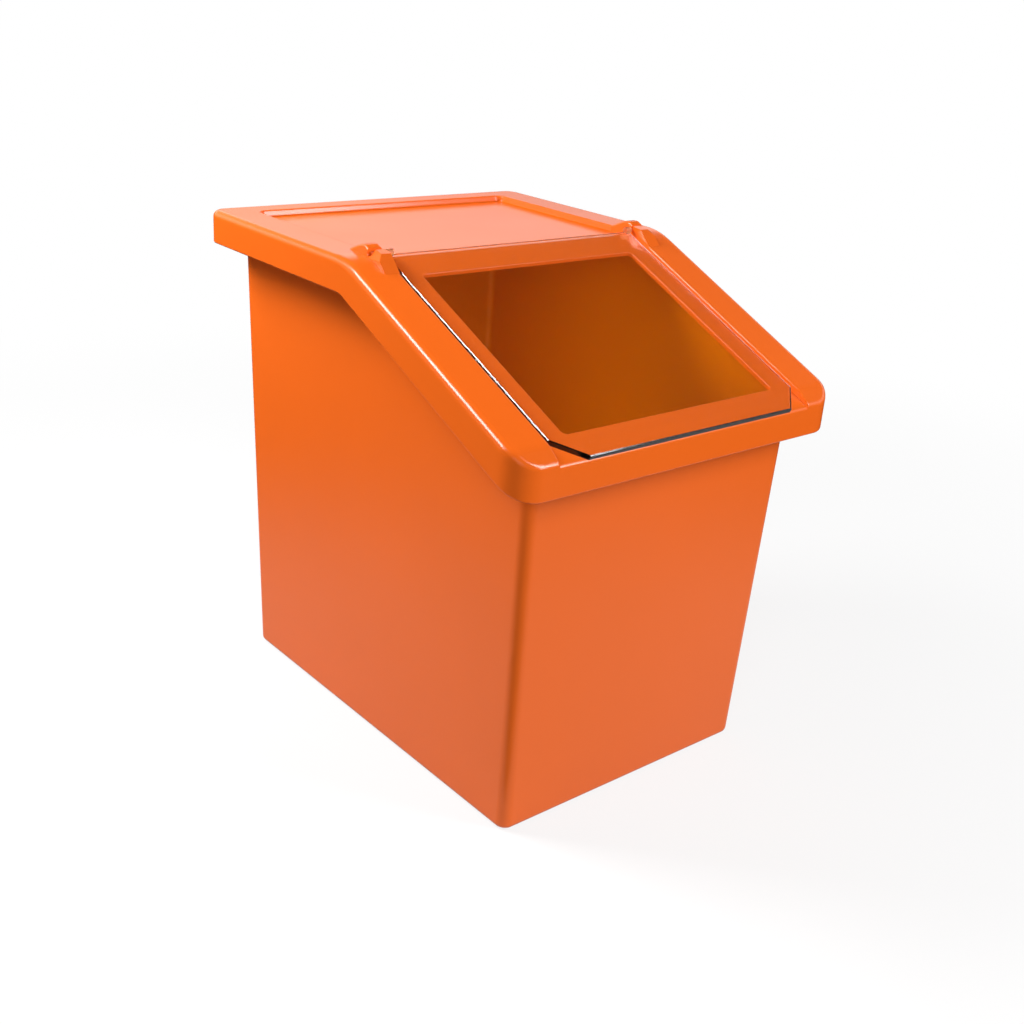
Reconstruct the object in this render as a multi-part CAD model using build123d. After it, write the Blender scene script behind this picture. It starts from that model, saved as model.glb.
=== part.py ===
from build123d import *

import math
import os

os.makedirs("parts", exist_ok=True)

# Ingredient bin: a tapered tub, a hood over its rim, and a clear flap hinged on the hood's ridge.
# Millimetres. X is the width, -Y the front, +Z up. The origin is the centre of the tub's base.

# Tub
BASE_WIDTH = 300.0
BASE_DEPTH = 426.0
TUB_CORNER = 11.0  # rounding of the upright edges
BASE_EDGE = 6.0  # rounding between the walls and the base
TUB_DRAFT = 1.23  # degrees that every wall leans out
TUB_WALL = 4.0
TUB_FLOOR = 5.0
FLANGE_THICKNESS = 4.0
LIP_THICKNESS = 4.0
LIP_DROP = 14.0  # how far the lip hangs below the top of the flange

# Hood
HEIGHT = 469.0  # floor to the top of the level rails
SIDE_OVERHANG = 30.0  # past the tub's walls, carried up to that height
BACK_OVERHANG = 13.0
FRONT_OVERHANG = 21.4
LEVEL_DEPTH = 239.6  # back edge to ridge
SLOPE_ANGLE = 23.5  # degrees below level
HOOD_WALL = 4.0
SKIRT_REAR = 31.0  # height of the skirt at the back
SKIRT_FRONT = 35.6  # height of the skirt at the front
HOOD_BACK_CORNER = 16.0
HOOD_FRONT_CORNER = 25.0
HOOD_EDGE = 6.5  # rounding of the outer top edge
SKIRT_EDGE = 1.5  # rounding of the skirt's lower edge
SKIRT_BEND = 18.0  # bend of that edge below the ridge
RIDGE_RADIUS = 80.0  # soft bend of the rails over the ridge
NOSE_LENGTH = 14.5  # front end of the rails that turns down, along the slope
NOSE_ANGLE = 16.0  # degrees that it turns down
NOSE_RADIUS = 24.0
BACK_RAIL = 28.0
LEVEL_RECESS = 6.0  # depth of the rear panel below the rails
SLOPE_RECESS = 6.7  # depth of the flap's bed below the rails
RECESS_DRAFT = 14.0  # degrees, walls of the rear panel
RECESS_CORNER = 6.0
RECESS_EDGE = 2.0  # rounding at the top and the foot of the rear panel's walls
BED_EDGE = 1.6  # rounding of the rails beside the flap
FRONT_LIP_EDGE = 4.5  # rounding where the flap's bed runs out over the front skirt
OPENING_SIDE_LEDGE = 24.1  # bed left beside the scoop opening
OPENING_REAR_LEDGE = 27.0  # ridge to opening, along the slope
OPENING_FRONT_LEDGE = 25.0  # opening to front edge, along the slope
OPENING_CORNER = 5.0
OPENING_EDGE = 1.3

# Hinge bosses on the ridge
BOSS_WIDTH = 15.0
BOSS_STEP = 2.2  # how far a boss stands in from the wall of the rear panel
CHEEK_ROOT = 0.5  # how far a boss is let into that wall
MOUND_LENGTH = 33.0  # rear half of a boss, behind the ridge
MOUND_TOP_LENGTH = 14.0
MOUND_FALL = 6.0  # length of its front, which falls to the pin's mouth
MOUND_HEIGHT = 8.4  # above the level rails
MOUND_CROWN = 22.0
MOUND_BROW = 5.0
MOUND_ROUNDING = 2.5
CHEEK_CORNER = 3.0
WEDGE_LENGTH = 24.0  # front half of a boss, ahead of the ridge
WEDGE_TOP_LENGTH = 10.5
WEDGE_REAR_HEIGHT = 5.5
WEDGE_FRONT_HEIGHT = 3.6
WEDGE_CROWN = 8.5  # flat strip beside the flap, before the bevel
WEDGE_BEVEL = 48.0  # degrees that the bevel falls outwards
WEDGE_EDGE = 0.7  # rounding of the bevel's upper edges
HINGE_RISE = 1.5  # hinge axis above the level rails
HINGE_SETBACK = 1.5  # hinge axis behind the ridge
PIN_DIAMETER = 3.6
PIN_MOUTH = 3.0  # snap-in gap above a pin
MOUTH_LEAD = 0.5  # bevel at the top of that gap

# Flap
FLAP_THICKNESS = 5.2
FLAP_REAR = 2.9  # rear edge past the ridge
FLAP_OVERHANG = 4.4  # finger lip past the front skirt, along the slope
FLAP_CORNER = 25.0  # cut-off front corners
FLAP_EDGE = 0.8  # bevel all round
KNUCKLE_DIAMETER = 6.0
KNUCKLE_LENGTH = 6.5
PIN_SINK = 1.5  # pin end inside the far face of the knuckle
PIN_INSET = 3.0  # pin end inside the outer face of the boss
PIN_CHAMFER = 0.4

# Clearances
SEAT_GAP = 0.2  # hood above the flange
SKIRT_CLEARANCE = 2.0  # skirt outside the flange
MOUTH_CLEARANCE = 0.5  # walls of the rear panel inside the tub
BED_GAP = 0.3  # flap above its bed
FLAP_SIDE_GAP = 3.0  # flap inside the rails
PIN_CLEARANCE = 0.06  # on the radius, in the bosses
PIN_GRIP = 0.02  # on the radius, in the knuckles

# Worked out from the sizes above
sine = math.sin(math.radians(SLOPE_ANGLE))
cosine = math.cos(math.radians(SLOPE_ANGLE))
tub_lean = math.tan(math.radians(TUB_DRAFT))


def tub_half_width(z):
    """Half the tub's outside width at a height."""
    return BASE_WIDTH / 2 + z * tub_lean


def tub_half_depth(z):
    """Half the tub's outside depth at a height."""
    return BASE_DEPTH / 2 + z * tub_lean


hood_half_width = tub_half_width(HEIGHT) + SIDE_OVERHANG
hood_back = tub_half_depth(HEIGHT) + BACK_OVERHANG
hood_front = -tub_half_depth(HEIGHT) - FRONT_OVERHANG
ridge_y = hood_back - LEVEL_DEPTH
slope_length = (ridge_y - hood_front) / cosine
front_z = HEIGHT - slope_length * sine
bend_length = RIDGE_RADIUS * math.tan(math.radians(SLOPE_ANGLE / 2))
reach = hood_half_width + hood_back - hood_front + HEIGHT

rim_z = HEIGHT - HOOD_WALL - SEAT_GAP
rim_slope = SLOPE_RECESS + HOOD_WALL + SEAT_GAP
flange_inset = HOOD_WALL + SKIRT_CLEARANCE

panel_half_width = tub_half_width(rim_z) - TUB_WALL - MOUTH_CLEARANCE - HOOD_WALL
panel_back = hood_back - BACK_RAIL
panel_lean = LEVEL_RECESS * math.tan(math.radians(RECESS_DRAFT))
bed_half_width = panel_half_width - BOSS_STEP
opening_half_width = bed_half_width - OPENING_SIDE_LEDGE
opening_end = slope_length - OPENING_FRONT_LEDGE

hinge_y = ridge_y + HINGE_SETBACK
hinge_z = HEIGHT + HINGE_RISE
flap_half_width = bed_half_width - FLAP_SIDE_GAP
flap_end = slope_length + FLAP_OVERHANG
flap_floor = SLOPE_RECESS - BED_GAP
boss_outside = bed_half_width + BOSS_WIDTH

# The slope as a working plane: origin on the ridge, its x along X, its y up the slope, its z outwards
slope_plane = Plane(origin=(0, ridge_y, HEIGHT), x_dir=(1, 0, 0), z_dir=(0, -sine, cosine))


def knee(level_offset, slope_offset):
    """Where the level and the sloping line meet, each lowered by its own offset."""
    return ridge_y + (slope_offset - level_offset * cosine) / sine, HEIGHT - level_offset


def side_slab(outline):
    """A side view, drawn in Y and Z, carried right across the width."""
    return extrude(Plane.YZ * outline, amount=reach, both=True)


def side_region(level_offset, slope_offset, radius, over):
    """All that lies over, or under, the hood's side profile lowered by the two offsets."""
    knee_y, knee_z = knee(level_offset, slope_offset)
    far_y = knee_y - reach * cosine
    far_z = knee_z - reach * sine
    edge_z = HEIGHT + reach if over else far_z - reach
    outline = Polygon(
        (reach, knee_z), (knee_y, knee_z), (far_y, far_z), (far_y, edge_z), (reach, edge_z), align=None
    )
    if radius > 0:
        corner = outline.vertices().sort_by_distance((knee_y, knee_z, 0))[0]
        outline = fillet(corner, radius)
    return side_slab(outline)


def rounded_plan(half_width, front, back, front_radius, back_radius):
    """A rectangle seen from above, with one radius at its front corners and one at its back corners."""
    plan = Pos(0, (front + back) / 2) * Rectangle(2 * half_width, back - front)
    if back_radius > 0:
        plan = fillet(plan.vertices().group_by(Axis.Y)[-1], back_radius)
    if front_radius > 0:
        plan = fillet(plan.vertices().group_by(Axis.Y)[0], front_radius)
    return plan


def hood_prism(inset):
    """The hood's outline seen from above, drawn in by an inset, as a tall block."""
    plan = rounded_plan(
        hood_half_width - inset,
        hood_front + inset,
        hood_back - inset,
        HOOD_FRONT_CORNER - inset,
        HOOD_BACK_CORNER - inset,
    )
    return extrude(plan, amount=HEIGHT + reach)


def tub_prism(inset, base_z):
    """The tub's tapered form, drawn in by an inset, from a height up past the rim."""
    top_z = base_z + HEIGHT
    views = []
    for half in (tub_half_width, tub_half_depth):
        low = half(base_z) - inset
        high = half(top_z) - inset
        views.append(Polygon((-low, base_z), (low, base_z), (high, top_z), (-high, top_z), align=None))
    block = extrude(Plane.XZ * views[0], amount=reach, both=True) & side_slab(views[1])
    upright = block.edges().filter_by(lambda edge: abs(edge.center().Z - base_z - HEIGHT / 2) < 1)
    return fillet(upright, TUB_CORNER - inset)


def make_tub():
    """The container: tapered walls, flat base, and a flange with a turned-down lip under the hood."""
    outside = tub_prism(0, 0)
    outside = fillet(outside.faces().sort_by(Axis.Z)[0].edges(), BASE_EDGE)
    inside = tub_prism(TUB_WALL, TUB_FLOOR)
    inside = fillet(inside.faces().sort_by(Axis.Z)[0].edges(), BASE_EDGE)
    under_rim = side_region(HOOD_WALL + SEAT_GAP, rim_slope, 0, over=False)
    rim_outline = hood_prism(flange_inset)
    flange = rim_outline & side_region(
        HOOD_WALL + SEAT_GAP + FLANGE_THICKNESS, rim_slope + FLANGE_THICKNESS, 0, over=True
    )
    lip = rim_outline - hood_prism(flange_inset + LIP_THICKNESS)
    lip = lip & side_region(HOOD_WALL + SEAT_GAP + LIP_DROP, rim_slope + LIP_DROP, 0, over=True)
    return ((outside + flange + lip) & under_rim) - inside


def skirt_region():
    """All that lies over the skirt's lower edge, which drops a little further towards the front."""
    knee_y, knee_z = knee(SKIRT_REAR, SKIRT_REAR)
    fall = (knee_z - front_z + SKIRT_FRONT) / (knee_y - hood_front)
    far_y = knee_y - reach
    far_z = knee_z - reach * fall
    high = HEIGHT + reach
    outline = Polygon(
        (reach, knee_z), (knee_y, knee_z), (far_y, far_z), (far_y, high), (reach, high), align=None
    )
    corner = outline.vertices().sort_by_distance((knee_y, knee_z, 0))[0]
    return side_slab(fillet(corner, SKIRT_BEND))


def turn_nose(block, depth):
    """A block whose top lies at a depth below the rails, with the front end of that top turned down."""
    start = NOSE_LENGTH - slope_length
    turned = Plane(slope_plane * Pos(0, start) * Rot(NOSE_ANGLE) * Pos(0, 0, -depth))
    block = split(block, bisect_by=turned, keep=Keep.BOTTOM)
    crease = Vector(0, start + depth * math.tan(math.radians(NOSE_ANGLE / 2)), -depth)
    edge = block.edges().sort_by_distance(slope_plane.from_local_coords(crease))[0]
    return fillet(edge, NOSE_RADIUS - depth)


def recess_tool(grow, edge):
    """The sunken rear panel and the flap's bed as one block, grown on all sides by a wall."""
    floor_y = knee(LEVEL_RECESS + grow, SLOPE_RECESS + grow)[0]
    panel = rounded_plan(
        panel_half_width - panel_lean + grow,
        floor_y,
        panel_back - panel_lean + grow,
        0,
        RECESS_CORNER + grow,
    )
    depth = LEVEL_RECESS + grow
    tray = Pos(0, 0, HEIGHT - depth) * extrude(panel, amount=depth + MOUND_HEIGHT, taper=-RECESS_DRAFT)
    if edge > 0:
        foot = tray.faces().sort_by(Axis.Z)[0].edges().sort_by(Axis.Y)[1:]
        tray = fillet(foot, edge)
    bed = Pos(0, floor_y - reach) * Box(2 * (bed_half_width + grow), 2 * reach, 4 * HEIGHT)
    bed = bed & side_region(LEVEL_RECESS + grow, SLOPE_RECESS + grow, 0, over=True)
    return tray + bed


def lip_tool():
    """Cutter that rounds the bed's front edge."""
    lip_z = front_z - SLOPE_RECESS / cosine
    run = FRONT_LIP_EDGE * math.tan(math.radians(90 - SLOPE_ANGLE) / 2)
    outline = Polygon(
        (hood_front + run * cosine, lip_z + run * sine),
        (hood_front + run * cosine, lip_z + run * sine + 1),
        (hood_front - 1, lip_z + run * sine + 1),
        (hood_front - 1, lip_z - run),
        (hood_front, lip_z - run),
        (hood_front + FRONT_LIP_EDGE, lip_z - run),
        align=None,
    )
    outline = outline - Pos(hood_front + FRONT_LIP_EDGE, lip_z - run) * Circle(FRONT_LIP_EDGE)
    return extrude(Plane.YZ * outline, amount=bed_half_width, both=True)


def near(edges, name, value):
    """Edges whose centre lies at one X, Y or Z value."""
    return edges.filter_by(lambda edge: abs(getattr(edge.center(), name) - value) < 0.01)


def across_boss(outline):
    """A side view, drawn in Y and Z, as wide as the boss at +X."""
    middle = bed_half_width + BOSS_WIDTH / 2
    return Pos(middle) * extrude(Plane.YZ * outline, amount=BOSS_WIDTH / 2, both=True)


def cheek(front, back):
    """Inner side of the boss at +X, filling the step down to the sunken panel between two Y values."""
    foot = LEVEL_RECESS + HOOD_WALL / 2
    return Pos(bed_half_width, front, HEIGHT - foot) * Box(
        BOSS_STEP + CHEEK_ROOT, back - front, foot, align=(Align.MIN, Align.MIN, Align.MIN)
    )


def make_mound():
    """Rear half of the boss at +X: rises gently from the level rail to the pin."""
    back = ridge_y + MOUND_LENGTH
    top_z = HEIGHT + MOUND_HEIGHT
    root_z = HEIGHT - HOOD_WALL / 2
    outline = Polygon(
        (back, root_z),
        (back, HEIGHT),
        (ridge_y + MOUND_TOP_LENGTH, top_z),
        (hinge_y + MOUND_FALL, top_z),
        (hinge_y, HEIGHT + WEDGE_REAR_HEIGHT),
        (hinge_y, root_z),
        align=None,
    )
    for crown_y, radius in ((ridge_y + MOUND_TOP_LENGTH, MOUND_CROWN), (hinge_y + MOUND_FALL, MOUND_BROW)):
        crown = outline.vertices().sort_by_distance((crown_y, top_z, 0))[0]
        outline = fillet(crown, radius)
    mound = across_boss(outline) + cheek(hinge_y, back)
    inner_corner = mound.edges().filter_by(Axis.Z).sort_by_distance((bed_half_width, back, HEIGHT))[0]
    mound = fillet(inner_corner, CHEEK_CORNER)
    for side_x in (boss_outside, bed_half_width):
        upper = mound.faces().filter_by(lambda face: face.normal_at(face.center()).Z > 0.9)
        mound = fillet(near(upper.edges(), "X", side_x), MOUND_ROUNDING)
    return mound


def make_wedge():
    """Front half of the boss at +X: falls from the pin to the sloping rail, with a bevelled outer side."""
    foot_z = HEIGHT - WEDGE_LENGTH * sine / cosine
    outline = Polygon(
        (hinge_y, HEIGHT - HOOD_WALL / 2),
        (hinge_y, HEIGHT + WEDGE_REAR_HEIGHT),
        (ridge_y - WEDGE_TOP_LENGTH, HEIGHT + WEDGE_FRONT_HEIGHT),
        (ridge_y - WEDGE_LENGTH, foot_z),
        (ridge_y - WEDGE_LENGTH, foot_z - HOOD_WALL / 2),
        align=None,
    )
    bevel = Plane(
        origin=(bed_half_width + WEDGE_CROWN, ridge_y, HEIGHT + WEDGE_REAR_HEIGHT),
        x_dir=(0, 1, 0),
        z_dir=(math.sin(math.radians(WEDGE_BEVEL)), 0, math.cos(math.radians(WEDGE_BEVEL))),
    )
    wedge = split(across_boss(outline), bisect_by=bevel, keep=Keep.BOTTOM)
    slanted = wedge.faces().filter_by(lambda face: 0.5 < face.normal_at(face.center()).X < 0.9)
    upper = slanted.edges().filter_by(
        lambda edge: edge.center().Y < hinge_y - 1 and edge.center().X < boss_outside - 1
    )
    wedge = fillet(upper, WEDGE_EDGE)
    return wedge + cheek(ridge_y - WEDGE_TOP_LENGTH, hinge_y)


def pin_seat():
    """The bore for the pin at +X, with its snap-in mouth, as a cutter."""
    bore = Plane.YZ * Pos(hinge_y, hinge_z) * Circle(PIN_DIAMETER / 2 + PIN_CLEARANCE)
    top_z = HEIGHT + MOUND_HEIGHT
    mouth = Polygon(
        (hinge_y - PIN_MOUTH / 2, hinge_z),
        (hinge_y - PIN_MOUTH / 2, HEIGHT + WEDGE_REAR_HEIGHT - MOUTH_LEAD),
        (hinge_y - PIN_MOUTH / 2 - MOUTH_LEAD, HEIGHT + WEDGE_REAR_HEIGHT),
        (hinge_y - PIN_MOUTH / 2 - MOUTH_LEAD, top_z + 1),
        (hinge_y + PIN_MOUTH / 2, top_z + 1),
        (hinge_y + PIN_MOUTH / 2, hinge_z),
        align=None,
    )
    section = bore + Plane.YZ * mouth
    return Pos(bed_half_width - 1) * extrude(section, amount=BOSS_WIDTH + 2, dir=(1, 0, 0))


def make_hood():
    """The cover: rails and skirt round a sunken panel, a scoop opening and two hinge bosses."""
    body = hood_prism(0) & side_region(0, 0, RIDGE_RADIUS, over=False) & skirt_region()
    body = turn_nose(body, 0)
    top = body.faces().filter_by(lambda face: face.normal_at(face.center()).Z > 0.5)
    outer = top.edges().filter_by(
        lambda edge: abs(edge.center().X) > 1 or not hood_front + 1 < edge.center().Y < hood_back - 1
    )
    body = fillet(outer, HOOD_EDGE)
    foot = body.faces().filter_by(lambda face: face.normal_at(face.center()).Z < -0.5)
    outer = foot.edges().filter_by(
        lambda edge: abs(edge.center().X) > 1 or not hood_front + 1 < edge.center().Y < hood_back - 1
    )
    body = fillet(outer, SKIRT_EDGE)

    hollow = hood_prism(HOOD_WALL) & side_region(HOOD_WALL, HOOD_WALL, RIDGE_RADIUS - HOOD_WALL, over=False)
    hollow = turn_nose(hollow, HOOD_WALL)
    body = body - (hollow - recess_tool(HOOD_WALL, 0)) - recess_tool(0, RECESS_EDGE)

    panel_rim = near(body.edges(), "Z", HEIGHT).filter_by(
        lambda edge: ridge_y + bend_length < edge.center().Y < panel_back + 1
        and abs(edge.center().X) < panel_half_width + 1
    )
    body = fillet(panel_rim, RECESS_EDGE)
    rail_sides = body.edges().filter_by(
        lambda edge: abs(abs(edge.center().X) - bed_half_width) < 0.01
        and edge.center().Y < ridge_y - bend_length
        and slope_plane.to_local_coords(edge.center()).Z > -SLOPE_RECESS / 2
    )
    body = fillet(rail_sides, BED_EDGE) - lip_tool()

    opening = Pos(0, -(OPENING_REAR_LEDGE + opening_end) / 2) * RectangleRounded(
        2 * opening_half_width, opening_end - OPENING_REAR_LEDGE, OPENING_CORNER
    )
    body = body - extrude(slope_plane * opening, amount=SLOPE_RECESS + 2 * HOOD_WALL, both=True)
    on_bed = slope_plane.from_local_coords(Vector(0, -OPENING_REAR_LEDGE / 2, -SLOPE_RECESS))
    bed = body.faces().sort_by_distance(on_bed)[0]
    body = fillet(bed.inner_wires()[0].edges(), OPENING_EDGE)

    boss = make_mound() + make_wedge()
    seat = pin_seat()
    body = body + boss + mirror(boss, about=Plane.YZ)
    return body - seat - mirror(seat, about=Plane.YZ)


def make_flap():
    """The clear lid: a flat sheet with cut-off front corners and a knuckle at each rear corner."""
    outline = Polygon(
        (-flap_half_width, FLAP_REAR),
        (-flap_half_width, FLAP_CORNER - flap_end),
        (FLAP_CORNER - flap_half_width, -flap_end),
        (flap_half_width - FLAP_CORNER, -flap_end),
        (flap_half_width, FLAP_CORNER - flap_end),
        (flap_half_width, FLAP_REAR),
        align=None,
    )
    sheet = extrude(slope_plane * Pos(0, 0, -flap_floor) * outline, amount=FLAP_THICKNESS)
    broad = sheet.faces().sort_by(SortBy.AREA)[-2:]
    sheet = chamfer(broad.edges(), FLAP_EDGE)

    knuckle_x = flap_half_width - KNUCKLE_LENGTH
    barrel = Plane.YZ * Pos(hinge_y, hinge_z) * Circle(KNUCKLE_DIAMETER / 2)
    barrel = Pos(knuckle_x) * extrude(barrel, amount=KNUCKLE_LENGTH, dir=(1, 0, 0))
    axis_up_slope = slope_plane.to_local_coords(Vector(0, hinge_y, hinge_z))
    web_low = axis_up_slope.Y - KNUCKLE_DIAMETER / 2
    web = slope_plane * Pos(knuckle_x, web_low, -flap_floor + FLAP_EDGE) * Box(
        KNUCKLE_LENGTH,
        FLAP_REAR - web_low,
        axis_up_slope.Z + flap_floor - FLAP_EDGE,
        align=(Align.MIN, Align.MIN, Align.MIN),
    )
    bore = Plane.YZ * Pos(hinge_y, hinge_z) * Circle(PIN_DIAMETER / 2 + PIN_GRIP)
    bore = Pos(knuckle_x + PIN_SINK) * extrude(bore, amount=KNUCKLE_LENGTH, dir=(1, 0, 0))
    knuckle = barrel + web
    sheet = sheet + knuckle + mirror(knuckle, about=Plane.YZ)
    return sheet - bore - mirror(bore, about=Plane.YZ)


def make_pin():
    """The hinge pin at +X: held in the flap's knuckle, free to turn in the boss."""
    start = flap_half_width - KNUCKLE_LENGTH + PIN_SINK
    length = boss_outside - PIN_INSET - start
    pin = extrude(Plane.YZ * Pos(hinge_y, hinge_z) * Circle(PIN_DIAMETER / 2), amount=length, dir=(1, 0, 0))
    pin = chamfer(pin.edges().filter_by(GeomType.CIRCLE), PIN_CHAMFER)
    return Pos(start) * pin


pin = make_pin()
nodes = {
    "tub": make_tub(),
    "hood": make_hood(),
    "flap": make_flap(),
    "hinge_pin_right": pin,
    "hinge_pin_left": mirror(pin, about=Plane.YZ),
}
for name, shape in nodes.items():
    export_step(shape, f"parts/{name}.step")
print(f"hinge axis y {hinge_y:.3f} z {hinge_z:.3f}")
print(f"slope {slope_length:.2f} long, front edge {front_z:.2f} high")
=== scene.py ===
"""Looks for the ingredient bin: satin orange mouldings, a clear flap and a white studio.

Laid out as a Blender add-on and run as a script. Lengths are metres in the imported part's own frame: X is the
width, -Y the front, +Z up, and the origin is the middle of the tub's base.
"""

import math

import bpy
from mathutils import Matrix, Vector


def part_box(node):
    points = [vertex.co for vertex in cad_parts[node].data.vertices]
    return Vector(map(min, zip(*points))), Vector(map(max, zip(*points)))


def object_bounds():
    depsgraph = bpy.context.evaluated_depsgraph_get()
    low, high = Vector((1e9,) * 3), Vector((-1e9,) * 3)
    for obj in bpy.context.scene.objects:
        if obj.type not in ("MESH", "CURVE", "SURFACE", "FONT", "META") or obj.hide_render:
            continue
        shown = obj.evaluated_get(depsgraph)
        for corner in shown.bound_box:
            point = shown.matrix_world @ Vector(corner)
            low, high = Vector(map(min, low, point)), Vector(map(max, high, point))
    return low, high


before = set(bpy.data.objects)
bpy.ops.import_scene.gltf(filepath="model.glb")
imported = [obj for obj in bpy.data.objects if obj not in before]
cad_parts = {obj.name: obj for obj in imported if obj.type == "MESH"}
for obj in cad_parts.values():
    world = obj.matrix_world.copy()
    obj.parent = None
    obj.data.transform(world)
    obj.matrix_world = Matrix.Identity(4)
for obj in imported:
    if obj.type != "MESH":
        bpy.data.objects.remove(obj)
CAD_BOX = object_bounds()

bl_info = {
    "name": "Ingredient bin",
    "version": (1, 0, 0),
    "blender": (4, 5, 0),
    "location": "View3D > Sidebar > Ingredient bin",
    "description": "Finishes and studio for the ingredient bin",
    "category": "Object",
}

BIN_CENTRE = (Vector(CAD_BOX[0]) + Vector(CAD_BOX[1])) / 2
SENSOR_WIDTH = 36.0  # millimetres

# Colour sockets of a Mix node, whose names its other kinds share
MIX_FIRST = 6
MIX_SECOND = 7
MIX_RESULT = 2

# Moulded skin: scales are ripples per metre
TONE_SCALE = 6.0
MOTTLE_SCALE = 210.0
MOTTLE_SPREAD = 0.015  # of roughness, either way
WAVE_SCALE = 14.0
PEEL_SHARE = 0.04  # height of the fine peel where that of the slow waves is 1
PLASTIC_INDEX = 1.5
# Painted shade: the tub's inside walls get a darker colour that stands in for the shade inside it; this span
# finds those walls.
INSIDE_SHADE_SPAN = (-0.02, 0.0)  # normal times place in metres, below 0 where a wall faces the upright axis

# Clear flap
HAIRLINE_STRETCH = (600.0, 40.0, 40.0)
HAIRLINE_SPAN = (0.76, 0.84)  # noise that shows as a hairline
HAIRLINE_ROUGHNESS = 0.05  # on top of the sheet's own
# EDGE_TILT also bounds the painted dark reflection on the cut edges.
EDGE_TILT = (0.2, 0.55)  # where a cut edge ends, as the cosine of its normal to the sheet's
BEVEL_TILT = (0.8, 0.95)  # the same for a bevel
KNUCKLE_REACH = (1.75, 1.95)  # where a knuckle ends, in pin radii from the hinge axis
KNUCKLE_END = (-0.0022, -0.0017)  # where it starts, in metres from the pin's inner end
LAMP_THROUGH = (0.98, 0.98, 0.98, 1.0)  # lamp light that the sheet lets through

# White paper on the floor: fades are metres from its middle
PAPER_MIDDLE = (0.06, -0.08, 0.0)
PAPER_FADE = (0.4, 1.0)  # of its mirrored image
PAPER_LEFT_OVER = 0.02  # what stays of that image
WHITE_FADE = (0.3, 1.6)
WHITE_LEVELS = (0.8, 1.0)  # share of plain white over the lit floor, for straight rays
CORNER_AZIMUTH = math.radians(-48)  # the mirrored image also fades ahead of the tub's front left corner
CORNER_SPAN = (0.4, 0.9)  # cosines from that direction
BOUNCE_SHARE = 0.4  # of the floor's own colour in the light it throws back near the bin
BOUNCE_COLOUR = (0.1, 0.1, 0.1, 1.0)  # the rest of that light

# Walls behind the bin: rises and falls are degrees above the floor, others cosines from the wall's middle
WALL_AZIMUTH = math.radians(135)
WALL_RISE = (6, 14)
WALL_RISE_LEVELS = (0.1, 1.0)
WALL_FALL = (24, 32)
WALL_SIDE = (-0.1, 0.25)
LEFT_START = (-0.5, -0.15)
LEFT_END = (0.3, 0.6)
LEFT_RISE = (-2, 6)
CLEAR_FALL = (18, 32)  # upper end of the white that shows through the flap

# Softboxes: azimuth, elevation in degrees, distance, width, height in metres, watts, lighting, mirrored
SOFTBOXES = {
    "key": (-135, 42, 1.3, 0.5, 0.5, 23.0, True, False),
    "edge": (-112.1, 50.8, 2.41, 0.8, 0.9, 50.0, False, True),
    "fill": (30, 30, 2.2, 0.6, 1.4, 37.0, True, True),
    "front": (-41, 17, 2.2, 1.4, 1.2, 22.0, True, False),
    "inner": (-41, -22, 0.11, 0.08, 0.14, 0.38, True, False),
}


# Settings that a user would change

class MouldingSettings(bpy.types.PropertyGroup):
    """Finish of the orange tub, hood and hinge pins."""

    colour: bpy.props.FloatVectorProperty(
        name="Colour",
        description="Colour of the polyethylene, linear",
        subtype="COLOR",
        size=4,
        min=0.0,
        max=1.0,
        default=(0.80, 0.129, 0.010, 1.0),
    )
    # Painted shade: this darker colour stands in for the shade inside the tub, not for a different plastic.
    inside_shade_colour: bpy.props.FloatVectorProperty(
        name="Inner colour",
        description="Colour of the tub's inside, linear",
        subtype="COLOR",
        size=4,
        min=0.0,
        max=1.0,
        default=(0.60, 0.15, 0.0, 1.0),
    )
    tone_spread: bpy.props.FloatProperty(
        name="Tone spread",
        description="How far the plastic's tone wanders over a wall",
        subtype="FACTOR",
        min=0.0,
        max=0.3,
        default=0.035,
    )
    hood_roughness: bpy.props.FloatProperty(
        name="Hood roughness",
        description="Roughness of the satin hood",
        subtype="FACTOR",
        min=0.0,
        max=1.0,
        default=0.21,
    )
    tub_roughness: bpy.props.FloatProperty(
        name="Tub roughness",
        description="Roughness of the tub, a little duller than the hood",
        subtype="FACTOR",
        min=0.0,
        max=1.0,
        default=0.30,
    )
    pin_roughness: bpy.props.FloatProperty(
        name="Pin roughness",
        description="Roughness of the hinge pins, rubbed by turning",
        subtype="FACTOR",
        min=0.0,
        max=1.0,
        default=0.38,
    )
    peel_size: bpy.props.FloatProperty(
        name="Peel size",
        description="Width of one ripple of the moulded skin",
        unit="LENGTH",
        min=0.0002,
        max=0.02,
        default=0.0016,
    )
    skin_depth: bpy.props.FloatProperty(
        name="Skin depth",
        description="Depth of the skin's ripples and of the wall's slow waves",
        unit="LENGTH",
        min=0.0,
        max=0.002,
        default=0.0003,
    )


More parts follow.
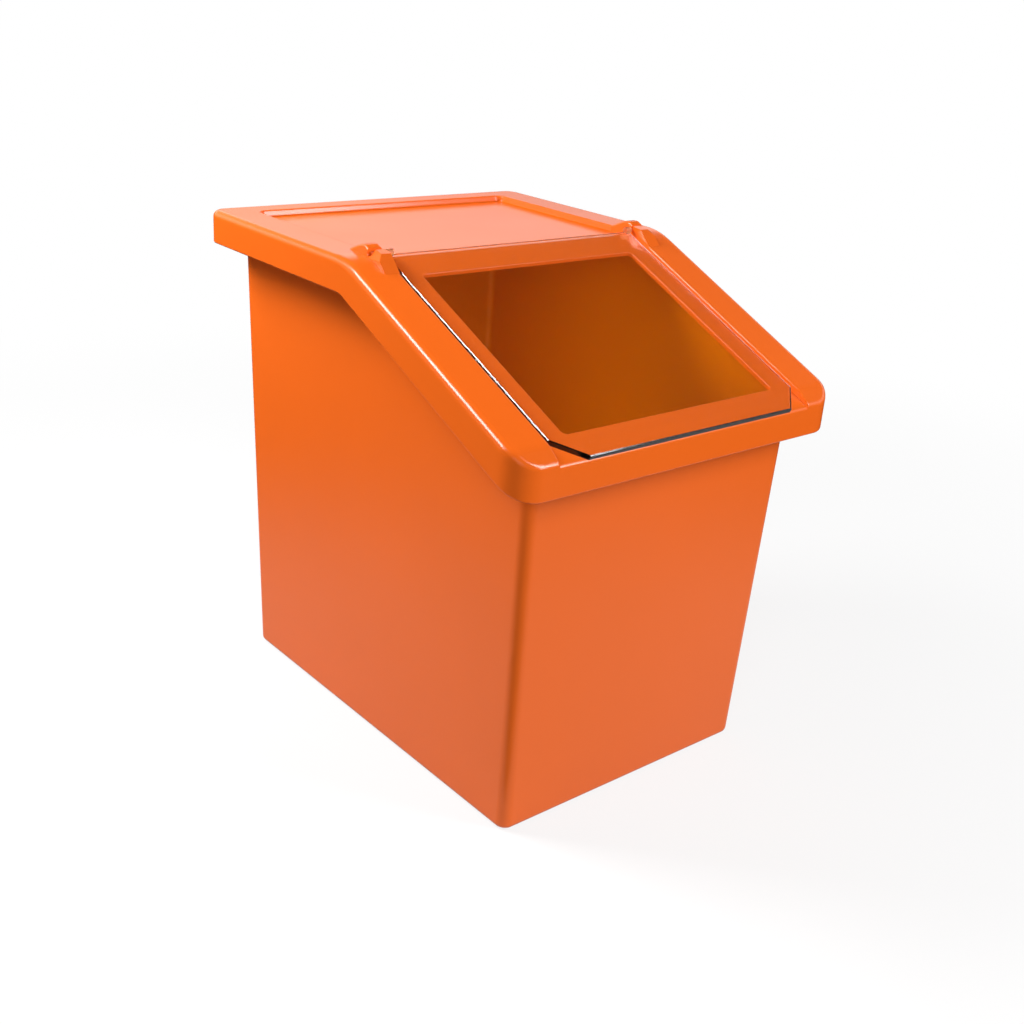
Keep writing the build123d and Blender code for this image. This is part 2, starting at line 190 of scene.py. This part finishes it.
class FlapSettings(bpy.types.PropertyGroup):
    """Finish of the clear flap."""

    tint: bpy.props.FloatVectorProperty(
        name="Tint",
        description="Colour of the clear sheet, linear",
        subtype="COLOR",
        size=4,
        min=0.0,
        max=1.0,
        default=(0.97, 0.97, 0.96, 1.0),
    )
    roughness: bpy.props.FloatProperty(
        name="Roughness",
        description="Roughness of the sheet between its hairlines",
        subtype="FACTOR",
        min=0.0,
        max=1.0,
        default=0.03,
    )
    edge_roughness: bpy.props.FloatProperty(
        name="Edge roughness",
        description="Roughness of the sheet's cut edges and bevels",
        subtype="FACTOR",
        min=0.0,
        max=1.0,
        default=0.12,
    )
    knuckle_roughness: bpy.props.FloatProperty(
        name="Knuckle roughness",
        description="Roughness of the knuckles",
        subtype="FACTOR",
        min=0.0,
        max=1.0,
        default=0.6,
    )
    # Painted see-through: the clear knuckles are coloured orange to stand in for the orange pin and boss seen
    # through them.
    knuckle_painted_see_through: bpy.props.FloatVectorProperty(
        name="Knuckle tint",
        description="Colour of the knuckles, which show the orange boss through them",
        subtype="COLOR",
        size=4,
        min=0.0,
        max=1.0,
        default=(0.70, 0.26, 0.05, 1.0),
    )
    # Mostly a painted reflection: the cut edges are coloured dark brown to stand in for the dark surroundings
    # they mirror inside the sheet; a little of it is the sheet's own tint seen along its width.
    edge_colour_with_painted_reflection: bpy.props.FloatVectorProperty(
        name="Edge tint",
        description="Colour of the sheet's cut edges, which look along its whole width",
        subtype="COLOR",
        size=4,
        min=0.0,
        max=1.0,
        default=(0.22, 0.13, 0.08, 1.0),
    )
    slope: bpy.props.FloatProperty(
        name="Slope",
        description="Slope of the flap at rest",
        subtype="ANGLE",
        default=math.radians(23.5),
    )
    index: bpy.props.FloatProperty(
        name="Index",
        description="Index of refraction of polycarbonate",
        min=1.0,
        max=2.5,
        default=1.585,
    )


class SoftboxSettings(bpy.types.PropertyGroup):
    """Place, size and level of one softbox. Azimuth 0 is in front of the bin and 90 degrees at its right."""

    azimuth: bpy.props.FloatProperty(
        name="Azimuth",
        description="Direction of the softbox round the bin",
        subtype="ANGLE",
        default=0.0,
    )
    elevation: bpy.props.FloatProperty(
        name="Elevation",
        description="Angle of the softbox's middle above the floor",
        subtype="ANGLE",
        default=math.radians(35),
    )
    distance: bpy.props.FloatProperty(
        name="Distance",
        description="Distance from the middle of the bin",
        unit="LENGTH",
        min=0.05,
        default=2.2,
    )
    width: bpy.props.FloatProperty(
        name="Width",
        description="Width of the softbox",
        unit="LENGTH",
        min=0.05,
        default=1.0,
    )
    height: bpy.props.FloatProperty(
        name="Height",
        description="Height of the softbox",
        unit="LENGTH",
        min=0.05,
        default=1.4,
    )
    power: bpy.props.FloatProperty(
        name="Power",
        description="Power of the lamp in watts",
        min=0.0,
        default=60.0,
    )
    mirrored: bpy.props.BoolProperty(
        name="Mirrored",
        description="Whether glossy surfaces mirror the lamp",
        default=True,
    )
    lighting: bpy.props.BoolProperty(
        name="Lighting",
        description="Whether the lamp lights matt surfaces",
        default=True,
    )


class StageSettings(bpy.types.PropertyGroup):
    """Floor, surroundings, softboxes and camera."""

    floor_size: bpy.props.FloatProperty(
        name="Floor size",
        description="Side of the square floor",
        unit="LENGTH",
        min=2.0,
        default=60.0,
    )
    floor_colour: bpy.props.FloatVectorProperty(
        name="Floor colour",
        description="Colour of the white floor, linear",
        subtype="COLOR",
        size=4,
        min=0.0,
        max=1.0,
        default=(0.82, 0.82, 0.82, 1.0),
    )
    ambient: bpy.props.FloatProperty(
        name="Ambient",
        description="Level of the light that comes from all round",
        min=0.0,
        default=0.01,
    )
    wall: bpy.props.FloatProperty(
        name="Wall",
        description="Level of the bright wall behind the bin",
        min=0.0,
        default=1.3,
    )
    left_wall: bpy.props.FloatProperty(
        name="Left wall",
        description="Level of the wall behind the bin at the left, where a glossy surface mirrors it",
        min=0.0,
        default=0.5,
    )
    paper: bpy.props.FloatProperty(
        name="Paper",
        description="Level of the paper under the bin where a glossy surface mirrors it",
        subtype="FACTOR",
        min=0.0,
        max=1.0,
        default=0.55,
    )
    key: bpy.props.PointerProperty(
        name="Key softbox",
        description="Softbox at the bin's left",
        type=SoftboxSettings,
    )
    edge: bpy.props.PointerProperty(
        name="Edge strip",
        description="Strip at the left that glossy edges mirror",
        type=SoftboxSettings,
    )
    fill: bpy.props.PointerProperty(
        name="Fill softbox",
        description="Softbox at the bin's front right",
        type=SoftboxSettings,
    )
    front: bpy.props.PointerProperty(
        name="Front softbox",
        description="Softbox beside the camera that lightens the inside through the flap",
        type=SoftboxSettings,
    )
    inner: bpy.props.PointerProperty(
        name="Inner softbox",
        description="Small softbox in the tub that stands for the light its thin walls let through",
        type=SoftboxSettings,
    )
    camera_place: bpy.props.FloatVectorProperty(
        name="Camera place",
        description="Where the camera stands",
        subtype="TRANSLATION",
        unit="LENGTH",
        size=3,
        default=(-0.78067, -0.91043, 0.70127),
    )
    camera_yaw: bpy.props.FloatProperty(
        name="Camera yaw",
        description="Direction from the bin to the camera, round Z from the front",
        subtype="ANGLE",
        default=math.radians(-41.352),
    )
    camera_pitch: bpy.props.FloatProperty(
        name="Camera pitch",
        description="How far the camera looks down",
        subtype="ANGLE",
        default=math.radians(22.755),
    )
    camera_roll: bpy.props.FloatProperty(
        name="Camera roll",
        description="Turn of the camera about its own line of sight",
        subtype="ANGLE",
        default=math.radians(4.2719),
    )
    camera_lens: bpy.props.FloatProperty(
        name="Camera lens",
        description="Focal length in millimetres",
        min=1.0,
        default=45.45,
    )


class BinSettings(bpy.types.PropertyGroup):
    """All settings of the bin."""

    moulding: bpy.props.PointerProperty(
        type=MouldingSettings,
        name="Mouldings",
        description="Tub, hood and hinge pins",
    )
    flap: bpy.props.PointerProperty(type=FlapSettings, name="Flap", description="Clear flap")
    stage: bpy.props.PointerProperty(type=StageSettings, name="Stage", description="Floor, light and camera")


# Directions and small helpers for node trees

def sine(degrees):
    """Sine of an angle in degrees, which is the height of a direction that far above the floor."""
    return math.sin(math.radians(degrees))


def towards(azimuth, elevation):
    """Unit vector from the bin in that direction."""
    flat = math.cos(elevation)
    return Vector((math.sin(azimuth) * flat, -math.cos(azimuth) * flat, math.sin(elevation)))


def add_node(tree, kind, **values):
    """A new node of that kind, with its own values set."""
    node = tree.nodes.new(kind)
    for name, value in values.items():
        setattr(node, name, value)
    return node


def feed(tree, socket, value):
    """Links an input to another node's socket, or gives it a plain value."""
    if isinstance(value, bpy.types.NodeSocket):
        tree.links.new(value, socket)
    else:
        socket.default_value = value


def new_group(name, inputs, outputs):
    """An empty shader node group with those sockets, and its input and output nodes."""
    tree = bpy.data.node_groups.new(name, "ShaderNodeTree")
    for direction, sockets in (("INPUT", inputs), ("OUTPUT", outputs)):
        for socket_name, kind in sockets:
            tree.interface.new_socket(socket_name, in_out=direction, socket_type="NodeSocket" + kind)
    return tree, tree.nodes.new("NodeGroupInput"), tree.nodes.new("NodeGroupOutput")


def new_material(name):
    """A material with a bare tree, its Principled shader and its output."""
    material = bpy.data.materials.new(name)
    material.use_nodes = True
    tree = material.node_tree
    tree.nodes.clear()
    output = tree.nodes.new("ShaderNodeOutputMaterial")
    shader = tree.nodes.new("ShaderNodeBsdfPrincipled")
    tree.links.new(shader.outputs["BSDF"], output.inputs["Surface"])
    return material, tree, shader, output


def noise(tree, place, scale, detail=2.0):
    """The value of a noise texture at that place."""
    node = add_node(tree, "ShaderNodeTexNoise")
    feed(tree, node.inputs["Vector"], place)
    feed(tree, node.inputs["Scale"], scale)
    feed(tree, node.inputs["Detail"], detail)
    return node.outputs["Fac"]


def spread(tree, value, low, high):
    """That value, from 0 to 1, carried over to the range from low to high."""
    node = add_node(tree, "ShaderNodeMapRange")
    feed(tree, node.inputs["Value"], value)
    feed(tree, node.inputs["To Min"], low)
    feed(tree, node.inputs["To Max"], high)
    return node.outputs["Result"]


def ramp(tree, value, span, ends):
    """That value eased from the first of the ends to the second over the span."""
    node = add_node(tree, "ShaderNodeMapRange", interpolation_type="SMOOTHSTEP")
    feed(tree, node.inputs["Value"], value)
    feed(tree, node.inputs["From Min"], span[0])
    feed(tree, node.inputs["From Max"], span[1])
    feed(tree, node.inputs["To Min"], ends[0])
    feed(tree, node.inputs["To Max"], ends[1])
    return node.outputs["Result"]


def by_height(tree, height, degrees, ends):
    """A ramp over the height of a direction, between two angles above the floor."""
    return ramp(tree, height, (sine(degrees[0]), sine(degrees[1])), ends)


def sums(tree, operation, first, second=0.0):
    """The result of a Math node on sockets or numbers."""
    node = add_node(tree, "ShaderNodeMath", operation=operation)
    feed(tree, node.inputs[0], first)
    feed(tree, node.inputs[1], second)
    return node.outputs["Value"]


def times(tree, first, *others):
    """The product of sockets or numbers."""
    for other in others:
        first = sums(tree, "MULTIPLY", first, other)
    return first


def vectors(tree, operation, first, second=(0.0, 0.0, 0.0), result="Vector"):
    """The result of a Vector Math node. Dot products and distances come out as its Value."""
    node = add_node(tree, "ShaderNodeVectorMath", operation=operation)
    feed(tree, node.inputs[0], first)
    feed(tree, node.inputs[1], second)
    return node.outputs[result]


def mix_colours(tree, factor, first, second):
    """A colour that goes from the first to the second with the factor."""
    node = add_node(tree, "ShaderNodeMix", data_type="RGBA")
    feed(tree, node.inputs["Factor"], factor)
    feed(tree, node.inputs[MIX_FIRST], first)
    feed(tree, node.inputs[MIX_SECOND], second)
    return node.outputs[MIX_RESULT]


def mix_shaders(tree, output, factor, first, second):
    """Puts out a surface that goes from the first shader to the second with the factor."""
    node = add_node(tree, "ShaderNodeMixShader")
    feed(tree, node.inputs["Fac"], factor)
    tree.links.new(first, node.inputs[1])
    tree.links.new(second, node.inputs[2])
    tree.links.new(node.outputs["Shader"], output.inputs["Surface"])


# Skin that the mouldings share

def moulded_skin_group():
    """Skin of a moulded wall: wandering tone, satin mottle, fine peel and slow waves."""
    group = bpy.data.node_groups.get("Moulded skin")
    if group:
        return group
    group, entry, leave = new_group(
        "Moulded skin",
        [("Colour", "Color"), ("Tone spread", "Float"), ("Roughness", "Float"), ("Peel scale", "Float")],
        [("Colour", "Color"), ("Roughness", "Float"), ("Height", "Float")],
    )
    links = group.links
    place = add_node(group, "ShaderNodeTexCoord").outputs["Object"]

    tone = noise(group, place, TONE_SCALE, detail=3.0)
    darkest = sums(group, "SUBTRACT", 1.0, entry.outputs["Tone spread"])
    lightest = sums(group, "ADD", 1.0, entry.outputs["Tone spread"])
    toned = add_node(group, "ShaderNodeVectorMath", operation="SCALE")
    links.new(entry.outputs["Colour"], toned.inputs[0])
    links.new(spread(group, tone, darkest, lightest), toned.inputs["Scale"])
    links.new(toned.outputs["Vector"], leave.inputs["Colour"])

    mottle = spread(group, noise(group, place, MOTTLE_SCALE), -MOTTLE_SPREAD, MOTTLE_SPREAD)
    links.new(sums(group, "ADD", entry.outputs["Roughness"], mottle), leave.inputs["Roughness"])

    peel = times(group, noise(group, place, entry.outputs["Peel scale"], detail=1.0), PEEL_SHARE)
    waves = noise(group, place, WAVE_SCALE, detail=0.0)
    links.new(sums(group, "ADD", peel, waves), leave.inputs["Height"])
    return group


# Finishes

def inside_shade_colour(tree, settings):
    """The moulding's colour, changed to a darker painted shade where the wall faces the bin's upright axis,
    inside the tub.
    """
    coordinates = add_node(tree, "ShaderNodeTexCoord")
    outward = vectors(tree, "MULTIPLY", coordinates.outputs["Object"], (1.0, 1.0, 0.0))
    facing = vectors(tree, "DOT_PRODUCT", coordinates.outputs["Normal"], outward, result="Value")
    # Mask of the painted shade inside the tub
    inside = ramp(tree, facing, INSIDE_SHADE_SPAN, (1.0, 0.0))
    return mix_colours(tree, inside, settings.colour, settings.inside_shade_colour)


def moulded_plastic(name, settings, roughness, shaded_inside=False):
    """Satin polyethylene of one moulding. For the tub, the inside is painted darker, a painted shade of the
    inside.
    """
    material, tree, shader, _ = new_material(name)
    links = tree.links
    skin = add_node(tree, "ShaderNodeGroup", node_tree=moulded_skin_group())
    feed(tree, skin.inputs["Colour"], inside_shade_colour(tree, settings) if shaded_inside else settings.colour)
    skin.inputs["Tone spread"].default_value = settings.tone_spread
    skin.inputs["Roughness"].default_value = roughness
    skin.inputs["Peel scale"].default_value = 1.0 / settings.peel_size
    bump = add_node(tree, "ShaderNodeBump")
    bump.inputs["Distance"].default_value = settings.skin_depth
    links.new(skin.outputs["Height"], bump.inputs["Height"])
    links.new(skin.outputs["Colour"], shader.inputs["Base Color"])
    links.new(skin.outputs["Roughness"], shader.inputs["Roughness"])
    links.new(bump.outputs["Normal"], shader.inputs["Normal"])
    shader.inputs["IOR"].default_value = PLASTIC_INDEX
    return material


def cut_edges(tree, settings):
    """Two sockets: 1 on the flap's cut edges, and 1 on those edges and their bevels. Broad faces are 0."""
    normal = add_node(tree, "ShaderNodeTexCoord").outputs["Normal"]
    sheet_normal = towards(0.0, math.pi / 2 - settings.slope)
    tilt = sums(tree, "ABSOLUTE", vectors(tree, "DOT_PRODUCT", normal, sheet_normal, result="Value"))
    return ramp(tree, tilt, EDGE_TILT, (1.0, 0.0)), ramp(tree, tilt, BEVEL_TILT, (1.0, 0.0))


def knuckle_mask(tree, place):
    """A socket that is 1 on the flap's two knuckles, found from the pin that they hold."""
    low, high = (Vector(corner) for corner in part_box("hinge_pin_right"))
    axis = (low + high) / 2
    radius = (high.z - low.z) / 2
    parts = add_node(tree, "ShaderNodeSeparateXYZ")
    feed(tree, parts.inputs["Vector"], vectors(tree, "SUBTRACT", place, (0.0, axis.y, axis.z)))
    back = times(tree, parts.outputs["Y"], parts.outputs["Y"])
    up = times(tree, parts.outputs["Z"], parts.outputs["Z"])
    from_axis = sums(tree, "SQRT", sums(tree, "ADD", back, up))
    close = ramp(tree, from_axis, [share * radius for share in KNUCKLE_REACH], (1.0, 0.0))
    along = sums(tree, "ABSOLUTE", parts.outputs["X"])
    ends = ramp(tree, along, [low.x + offset for offset in KNUCKLE_END], (0.0, 1.0))
    return times(tree, close, ends)


def hairlines(tree, place):
    """A socket that is 1 on fine scratches: stretched noise cut to thin lines."""
    stretched = vectors(tree, "MULTIPLY", place, HAIRLINE_STRETCH)
    return ramp(tree, noise(tree, stretched, scale=1.0, detail=3.0), HAIRLINE_SPAN, (0.0, 1.0))


def clear_sheet(settings):
    """Clear polycarbonate with faint hairlines, cut edges painted dark as a painted reflection, and matt
    knuckles painted orange for what shows through them. Lamps shine through.
    """
    material, tree, shader, output = new_material("clear_polycarbonate_sheet")
    place = add_node(tree, "ShaderNodeTexCoord").outputs["Object"]
    edges, edges_and_bevels = cut_edges(tree, settings)
    knuckles = knuckle_mask(tree, place)

    scratched = settings.roughness + HAIRLINE_ROUGHNESS
    rough = spread(tree, hairlines(tree, place), settings.roughness, scratched)
    rough = sums(tree, "MAXIMUM", rough, times(tree, edges_and_bevels, settings.edge_roughness))
    rough = sums(tree, "MAXIMUM", rough, times(tree, knuckles, settings.knuckle_roughness))
    feed(tree, shader.inputs["Roughness"], rough)
    # Painted reflection: the dark brown on the cut edges
    colour = mix_colours(tree, edges, settings.tint, settings.edge_colour_with_painted_reflection)
    # Painted see-through orange on the knuckles
    colour = mix_colours(tree, knuckles, colour, settings.knuckle_painted_see_through)
    feed(tree, shader.inputs["Base Color"], colour)
    shader.inputs["IOR"].default_value = settings.index
    shader.inputs["Transmission Weight"].default_value = 1.0

    through = add_node(tree, "ShaderNodeBsdfTransparent")
    through.inputs["Color"].default_value = LAMP_THROUGH
    path = add_node(tree, "ShaderNodeLightPath").outputs
    lamps = sums(tree, "MAXIMUM", path["Is Shadow Ray"], path["Is Diffuse Ray"])
    mix_shaders(tree, output, lamps, shader.outputs["BSDF"], through.outputs["BSDF"])
    return material


def dress(node_name, material):
    """Gives a CAD node that finish in every one of its material slots."""
    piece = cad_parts[node_name]
    if not piece.material_slots:
        raise RuntimeError(node_name + " has no material slot")
    for slot in piece.material_slots:
        slot.material = material


# Stage

def floor_finish(settings):
    """White paper: it shows as nearly white, keeps the bin's soft shadow and is mirrored near the bin."""
    tub_corner = Vector(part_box("tub")[0])
    material, tree, shader, output = new_material("white_floor")
    shader.inputs["Specular IOR Level"].default_value = 0.0
    path = add_node(tree, "ShaderNodeLightPath").outputs
    mirrored = sums(tree, "GREATER_THAN", path["Is Glossy Ray"], path["Is Transmission Ray"])
    straight = sums(tree, "MAXIMUM", path["Is Camera Ray"], path["Is Transmission Ray"])

    place = add_node(tree, "ShaderNodeTexCoord").outputs["Object"]
    distance = vectors(tree, "DISTANCE", place, PAPER_MIDDLE, result="Value")
    white = ramp(tree, distance, WHITE_FADE, WHITE_LEVELS)
    from_corner = vectors(tree, "SUBTRACT", place, (tub_corner.x, tub_corner.y, 0.0))
    ahead = vectors(tree, "NORMALIZE", from_corner)
    facing = vectors(tree, "DOT_PRODUCT", ahead, towards(CORNER_AZIMUTH, 0.0), result="Value")
    near = ramp(tree, distance, PAPER_FADE, (1.0, PAPER_LEFT_OVER))
    near = times(tree, near, ramp(tree, facing, CORNER_SPAN, (1.0, PAPER_LEFT_OVER)))

    away = sums(tree, "SUBTRACT", 1.0, times(tree, near, BOUNCE_SHARE))
    bounced = times(tree, path["Is Diffuse Ray"], away)
    colour = mix_colours(tree, bounced, settings.floor_colour, BOUNCE_COLOUR)
    feed(tree, shader.inputs["Base Color"], colour)

    glow = add_node(tree, "ShaderNodeEmission")
    feed(tree, glow.inputs["Strength"], spread(tree, mirrored, 1.0, times(tree, near, settings.paper)))
    shown = sums(tree, "MAXIMUM", times(tree, white, straight), mirrored)
    mix_shaders(tree, output, shown, shader.outputs["BSDF"], glow.outputs["Emission"])
    return material


def make_floor(settings):
    """A square floor at the height of the tub's base."""
    half = settings.floor_size / 2
    corners = [(-half, -half, 0.0), (half, -half, 0.0), (half, half, 0.0), (-half, half, 0.0)]
    mesh = bpy.data.meshes.new("floor")
    mesh.from_pydata(corners, [], [(0, 1, 2, 3)])
    floor = bpy.data.objects.new("floor", mesh)
    floor.location.z = CAD_BOX[0][2]
    bpy.context.scene.collection.objects.link(floor)
    mesh.materials.append(floor_finish(settings))


def make_world(settings):
    """A bright wall low behind the bin in a dim room. Straight rays see plain white."""
    world = bpy.data.worlds.new("studio")
    world.use_nodes = True
    tree = world.node_tree
    tree.nodes.clear()
    direction = add_node(tree, "ShaderNodeTexCoord").outputs["Generated"]
    parts = add_node(tree, "ShaderNodeSeparateXYZ")
    feed(tree, parts.inputs["Vector"], direction)
    height = parts.outputs["Z"]
    behind = vectors(tree, "DOT_PRODUCT", direction, towards(WALL_AZIMUTH, 0.0), result="Value")
    path = add_node(tree, "ShaderNodeLightPath").outputs

    wall = times(
        tree,
        by_height(tree, height, WALL_RISE, WALL_RISE_LEVELS),
        by_height(tree, height, WALL_FALL, (settings.wall, 0.0)),
        ramp(tree, behind, WALL_SIDE, (0.0, 1.0)),
    )
    left = times(
        tree,
        ramp(tree, behind, LEFT_START, (0.0, settings.left_wall)),
        ramp(tree, behind, LEFT_END, (1.0, 0.0)),
        by_height(tree, height, LEFT_RISE, (0.0, 1.0)),
        by_height(tree, height, WALL_FALL, (1.0, 0.0)),
        path["Is Glossy Ray"],
    )
    clear = times(tree, path["Is Transmission Ray"], by_height(tree, height, CLEAR_FALL, (1.0, 0.0)))
    level = settings.ambient
    for light in (wall, left, clear, path["Is Camera Ray"]):
        level = sums(tree, "MAXIMUM", level, light)

    background = add_node(tree, "ShaderNodeBackground")
    background.inputs["Color"].default_value = (1.0, 1.0, 1.0, 1.0)
    feed(tree, background.inputs["Strength"], level)
    output = add_node(tree, "ShaderNodeOutputWorld")
    feed(tree, output.inputs["Surface"], background.outputs["Background"])
    bpy.context.scene.world = world


def make_softbox(name, settings):
    """A soft rectangular lamp that faces the middle of the bin."""
    lamp = bpy.data.lights.new(name, "AREA")
    lamp.shape = "RECTANGLE"
    lamp.size = settings.width
    lamp.size_y = settings.height
    lamp.energy = settings.power
    softbox = bpy.data.objects.new(name, lamp)
    outward = towards(settings.azimuth, settings.elevation)
    softbox.location = BIN_CENTRE + outward * settings.distance
    softbox.rotation_euler = outward.to_track_quat("Z", "Y").to_euler()
    softbox.visible_camera = False
    softbox.visible_glossy = settings.mirrored
    softbox.visible_diffuse = settings.lighting
    softbox.visible_transmission = False
    bpy.context.scene.collection.objects.link(softbox)


def make_camera(settings):
    """The camera at the photograph's angle."""
    lens = bpy.data.cameras.new("camera")
    lens.sensor_width = SENSOR_WIDTH
    lens.lens = settings.camera_lens
    camera = bpy.data.objects.new("camera", lens)
    back = towards(settings.camera_yaw, settings.camera_pitch)
    right = Vector((0.0, 0.0, 1.0)).cross(back).normalized()
    level = Matrix((right, back.cross(right), back)).transposed()
    turn = level @ Matrix.Rotation(settings.camera_roll, 3, "Z")
    camera.matrix_world = Matrix.Translation(settings.camera_place) @ turn.to_4x4()
    bpy.context.scene.collection.objects.link(camera)
    bpy.context.scene.camera = camera


# Operators

class BIN_OT_mouldings(bpy.types.Operator):
    """Finish the tub and the hood in satin orange plastic"""

    bl_idname = "ingredient_bin.mouldings"
    bl_label = "Orange mouldings"

    def execute(self, context):
        settings = context.scene.ingredient_bin.moulding
        # The tub's inside gets the painted shade
        dress("tub", moulded_plastic("orange_polyethylene_tub", settings, settings.tub_roughness, True))
        dress("hood", moulded_plastic("orange_polyethylene_hood", settings, settings.hood_roughness))
        return {"FINISHED"}


class BIN_OT_flap(bpy.types.Operator):
    """Finish the flap in clear sheet"""

    bl_idname = "ingredient_bin.flap"
    bl_label = "Clear flap"

    def execute(self, context):
        dress("flap", clear_sheet(context.scene.ingredient_bin.flap))
        return {"FINISHED"}


class BIN_OT_pins(bpy.types.Operator):
    """Finish both hinge pins in the orange plastic"""

    bl_idname = "ingredient_bin.pins"
    bl_label = "Hinge pins"

    def execute(self, context):
        settings = context.scene.ingredient_bin.moulding
        plastic = moulded_plastic("orange_polyethylene_pin", settings, settings.pin_roughness)
        for side in ("left", "right"):
            dress("hinge_pin_" + side, plastic)
        return {"FINISHED"}


class BIN_OT_stage(bpy.types.Operator):
    """Add the floor, the light and the camera"""

    bl_idname = "ingredient_bin.stage"
    bl_label = "Studio"

    def execute(self, context):
        settings = context.scene.ingredient_bin.stage
        context.scene.view_settings.view_transform = "Standard"
        make_floor(settings)
        make_world(settings)
        make_softbox("key_softbox", settings.key)
        make_softbox("edge_strip", settings.edge)
        make_softbox("fill_softbox", settings.fill)
        make_softbox("front_softbox", settings.front)
        make_softbox("inner_softbox", settings.inner)
        make_camera(settings)
        return {"FINISHED"}


# Panel and registration

def draw_settings(layout, group):
    """Lists a group's settings, with each group inside it in a box of its own."""
    for name, described in type(group).__annotations__.items():
        value = getattr(group, name)
        if isinstance(value, bpy.types.PropertyGroup):
            box = layout.box()
            box.label(text=described.keywords["name"])
            draw_settings(box, value)
        else:
            layout.prop(group, name)


class BIN_PT_panel(bpy.types.Panel):
    """Lists the bin's operators and settings"""

    bl_idname = "BIN_PT_panel"
    bl_label = "Ingredient bin"
    bl_space_type = "VIEW_3D"
    bl_region_type = "UI"
    bl_category = "Ingredient bin"

    def draw(self, context):
        settings = context.scene.ingredient_bin
        for operators, group in (
            ((BIN_OT_mouldings, BIN_OT_pins), settings.moulding),
            ((BIN_OT_flap,), settings.flap),
            ((BIN_OT_stage,), settings.stage),
        ):
            box = self.layout.box()
            for operator in operators:
                box.operator(operator.bl_idname)
            draw_settings(box, group)


CLASSES = (
    MouldingSettings,
    FlapSettings,
    SoftboxSettings,
    StageSettings,
    BinSettings,
    BIN_OT_mouldings,
    BIN_OT_flap,
    BIN_OT_pins,
    BIN_OT_stage,
    BIN_PT_panel,
)


def register():
    """Registers the settings, the operators and the panel."""
    for cls in CLASSES:
        bpy.utils.register_class(cls)
    bpy.types.Scene.ingredient_bin = bpy.props.PointerProperty(type=BinSettings)


def unregister():
    """Takes away what register added."""
    del bpy.types.Scene.ingredient_bin
    for cls in reversed(CLASSES):
        bpy.utils.unregister_class(cls)


def set_softboxes(stage):
    """Gives each softbox its own place, size and level."""
    for name, (azimuth, elevation, distance, width, height, power, lighting, mirrored) in SOFTBOXES.items():
        box = getattr(stage, name)
        box.azimuth = math.radians(azimuth)
        box.elevation = math.radians(elevation)
        box.distance = distance
        box.width = width
        box.height = height
        box.power = power
        box.lighting = lighting
        box.mirrored = mirrored


def main():
    """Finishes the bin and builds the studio."""
    register()
    set_softboxes(bpy.context.scene.ingredient_bin.stage)
    bpy.ops.ingredient_bin.mouldings()
    bpy.ops.ingredient_bin.flap()
    bpy.ops.ingredient_bin.pins()
    bpy.ops.ingredient_bin.stage()


if __name__ == "__main__":
    main()
